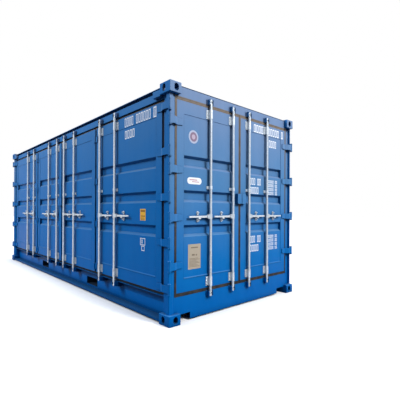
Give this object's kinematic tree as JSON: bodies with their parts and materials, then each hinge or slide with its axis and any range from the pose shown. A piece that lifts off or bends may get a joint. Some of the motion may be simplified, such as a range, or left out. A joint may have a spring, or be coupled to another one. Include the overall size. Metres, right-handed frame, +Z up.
{
  "type": "full side access shipping container",
  "caption": "Twenty-foot steel freight container with swing doors in one end, folding doors along one side, lock rods and cast corners.",
  "frame": {"origin": "on the ground under the middle of the container", "axes": "+X along the length towards the end doors, +Y across to the closed side, +Z up"},
  "size_m": [6.058, 2.438, 2.591],
  "materials": {
    "painted_steel": "semi-gloss blue paint",
    "galvanised_steel": "hot-dip galvanised",
    "door_rubber": "extruded door seal",
    "plywood": "oiled hardwood plywood"
  },
  "bodies": {
    "container": {"corner_castings": "painted_steel", "door_end_posts": "painted_steel", "rear_end_posts": "painted_steel", "door_headers": "painted_steel", "door_sill": "painted_steel", "side_door_sill": "painted_steel", "plain_sills": "painted_steel", "sill_webs": "painted_steel", "plain_top_rails": "painted_steel", "corrugated_walls": "painted_steel", "roof_panel": "painted_steel", "floor_boards": "plywood", "cross_members": "painted_steel", "fork_pocket_plates": "painted_steel", "fork_pocket_sides": "painted_steel", "rod_keepers": "painted_steel", "hinge_pins": "painted_steel", "side_leaf_a": "painted_steel", "side_leaf_b": "painted_steel", "side_leaf_c": "painted_steel", "side_leaf_d": "painted_steel", "side_door_seals": "door_rubber", "side_lock_box": "painted_steel", "side_door_hinges": "painted_steel", "side_lock_rods": "galvanised_steel", "side_rod_handles": "galvanised_steel", "side_rod_fittings": "galvanised_steel"},
    "door_left": {"end_door_left": "painted_steel", "lock_box_left": "painted_steel", "door_seal_left": "door_rubber", "hinge_blades_left": "painted_steel", "rod_fittings_left": "galvanised_steel"},
    "rod_left_inner": {"lock_rod_left_inner": "galvanised_steel"},
    "handle_left_inner": {"rod_handle_left_inner": "galvanised_steel"},
    "rod_left_outer": {"lock_rod_left_outer": "galvanised_steel"},
    "handle_left_outer": {"rod_handle_left_outer": "galvanised_steel"},
    "door_right": {"end_door_right": "painted_steel", "lock_box_right": "painted_steel", "door_seal_right": "door_rubber", "hinge_blades_right": "painted_steel", "rod_fittings_right": "galvanised_steel"},
    "rod_right_inner": {"lock_rod_right_inner": "galvanised_steel"},
    "handle_right_inner": {"rod_handle_right_inner": "galvanised_steel"},
    "rod_right_outer": {"lock_rod_right_outer": "galvanised_steel"},
    "handle_right_outer": {"rod_handle_right_outer": "galvanised_steel"}
  },
  "joints": [
    {"name": "door_left_swing", "type": "hinge", "parent": "container", "child": "door_left", "pos_m": [3.014, -1.204, 1.377], "axis": [0, 0, -1], "range_deg": [0, 265]},
    {"name": "rod_left_inner_turn", "type": "hinge", "parent": "door_left", "child": "rod_left_inner", "pos_m": [3.007, -0.166, 1.154], "axis": [0, 0, -1], "range_deg": [-105, 0]},
    {"name": "handle_left_inner_lift", "type": "hinge", "parent": "rod_left_inner", "child": "handle_left_inner", "pos_m": [3.007, -0.21, 1.154], "axis": [1, 0, 0], "range_deg": [-60, 0]},
    {"name": "rod_left_outer_turn", "type": "hinge", "parent": "door_left", "child": "rod_left_outer", "pos_m": [3.007, -0.574, 1.154], "axis": [0, 0, -1], "range_deg": [-105, 0]},
    {"name": "handle_left_outer_lift", "type": "hinge", "parent": "rod_left_outer", "child": "handle_left_outer", "pos_m": [3.007, -0.618, 1.154], "axis": [1, 0, 0], "range_deg": [-60, 0]},
    {"name": "door_right_swing", "type": "hinge", "parent": "container", "child": "door_right", "pos_m": [3.014, 1.204, 1.377], "axis": [0, 0, 1], "range_deg": [0, 265]},
    {"name": "rod_right_inner_turn", "type": "hinge", "parent": "door_right", "child": "rod_right_inner", "pos_m": [3.007, 0.166, 1.154], "axis": [0, 0, 1], "range_deg": [-105, 0]},
    {"name": "handle_right_inner_lift", "type": "hinge", "parent": "rod_right_inner", "child": "handle_right_inner", "pos_m": [3.007, 0.21, 1.154], "axis": [-1, 0, 0], "range_deg": [-60, 0]},
    {"name": "rod_right_outer_turn", "type": "hinge", "parent": "door_right", "child": "rod_right_outer", "pos_m": [3.007, 0.574, 1.154], "axis": [0, 0, 1], "range_deg": [-105, 0]},
    {"name": "handle_right_outer_lift", "type": "hinge", "parent": "rod_right_outer", "child": "handle_right_outer", "pos_m": [3.007, 0.618, 1.154], "axis": [-1, 0, 0], "range_deg": [-60, 0]}
  ]
}
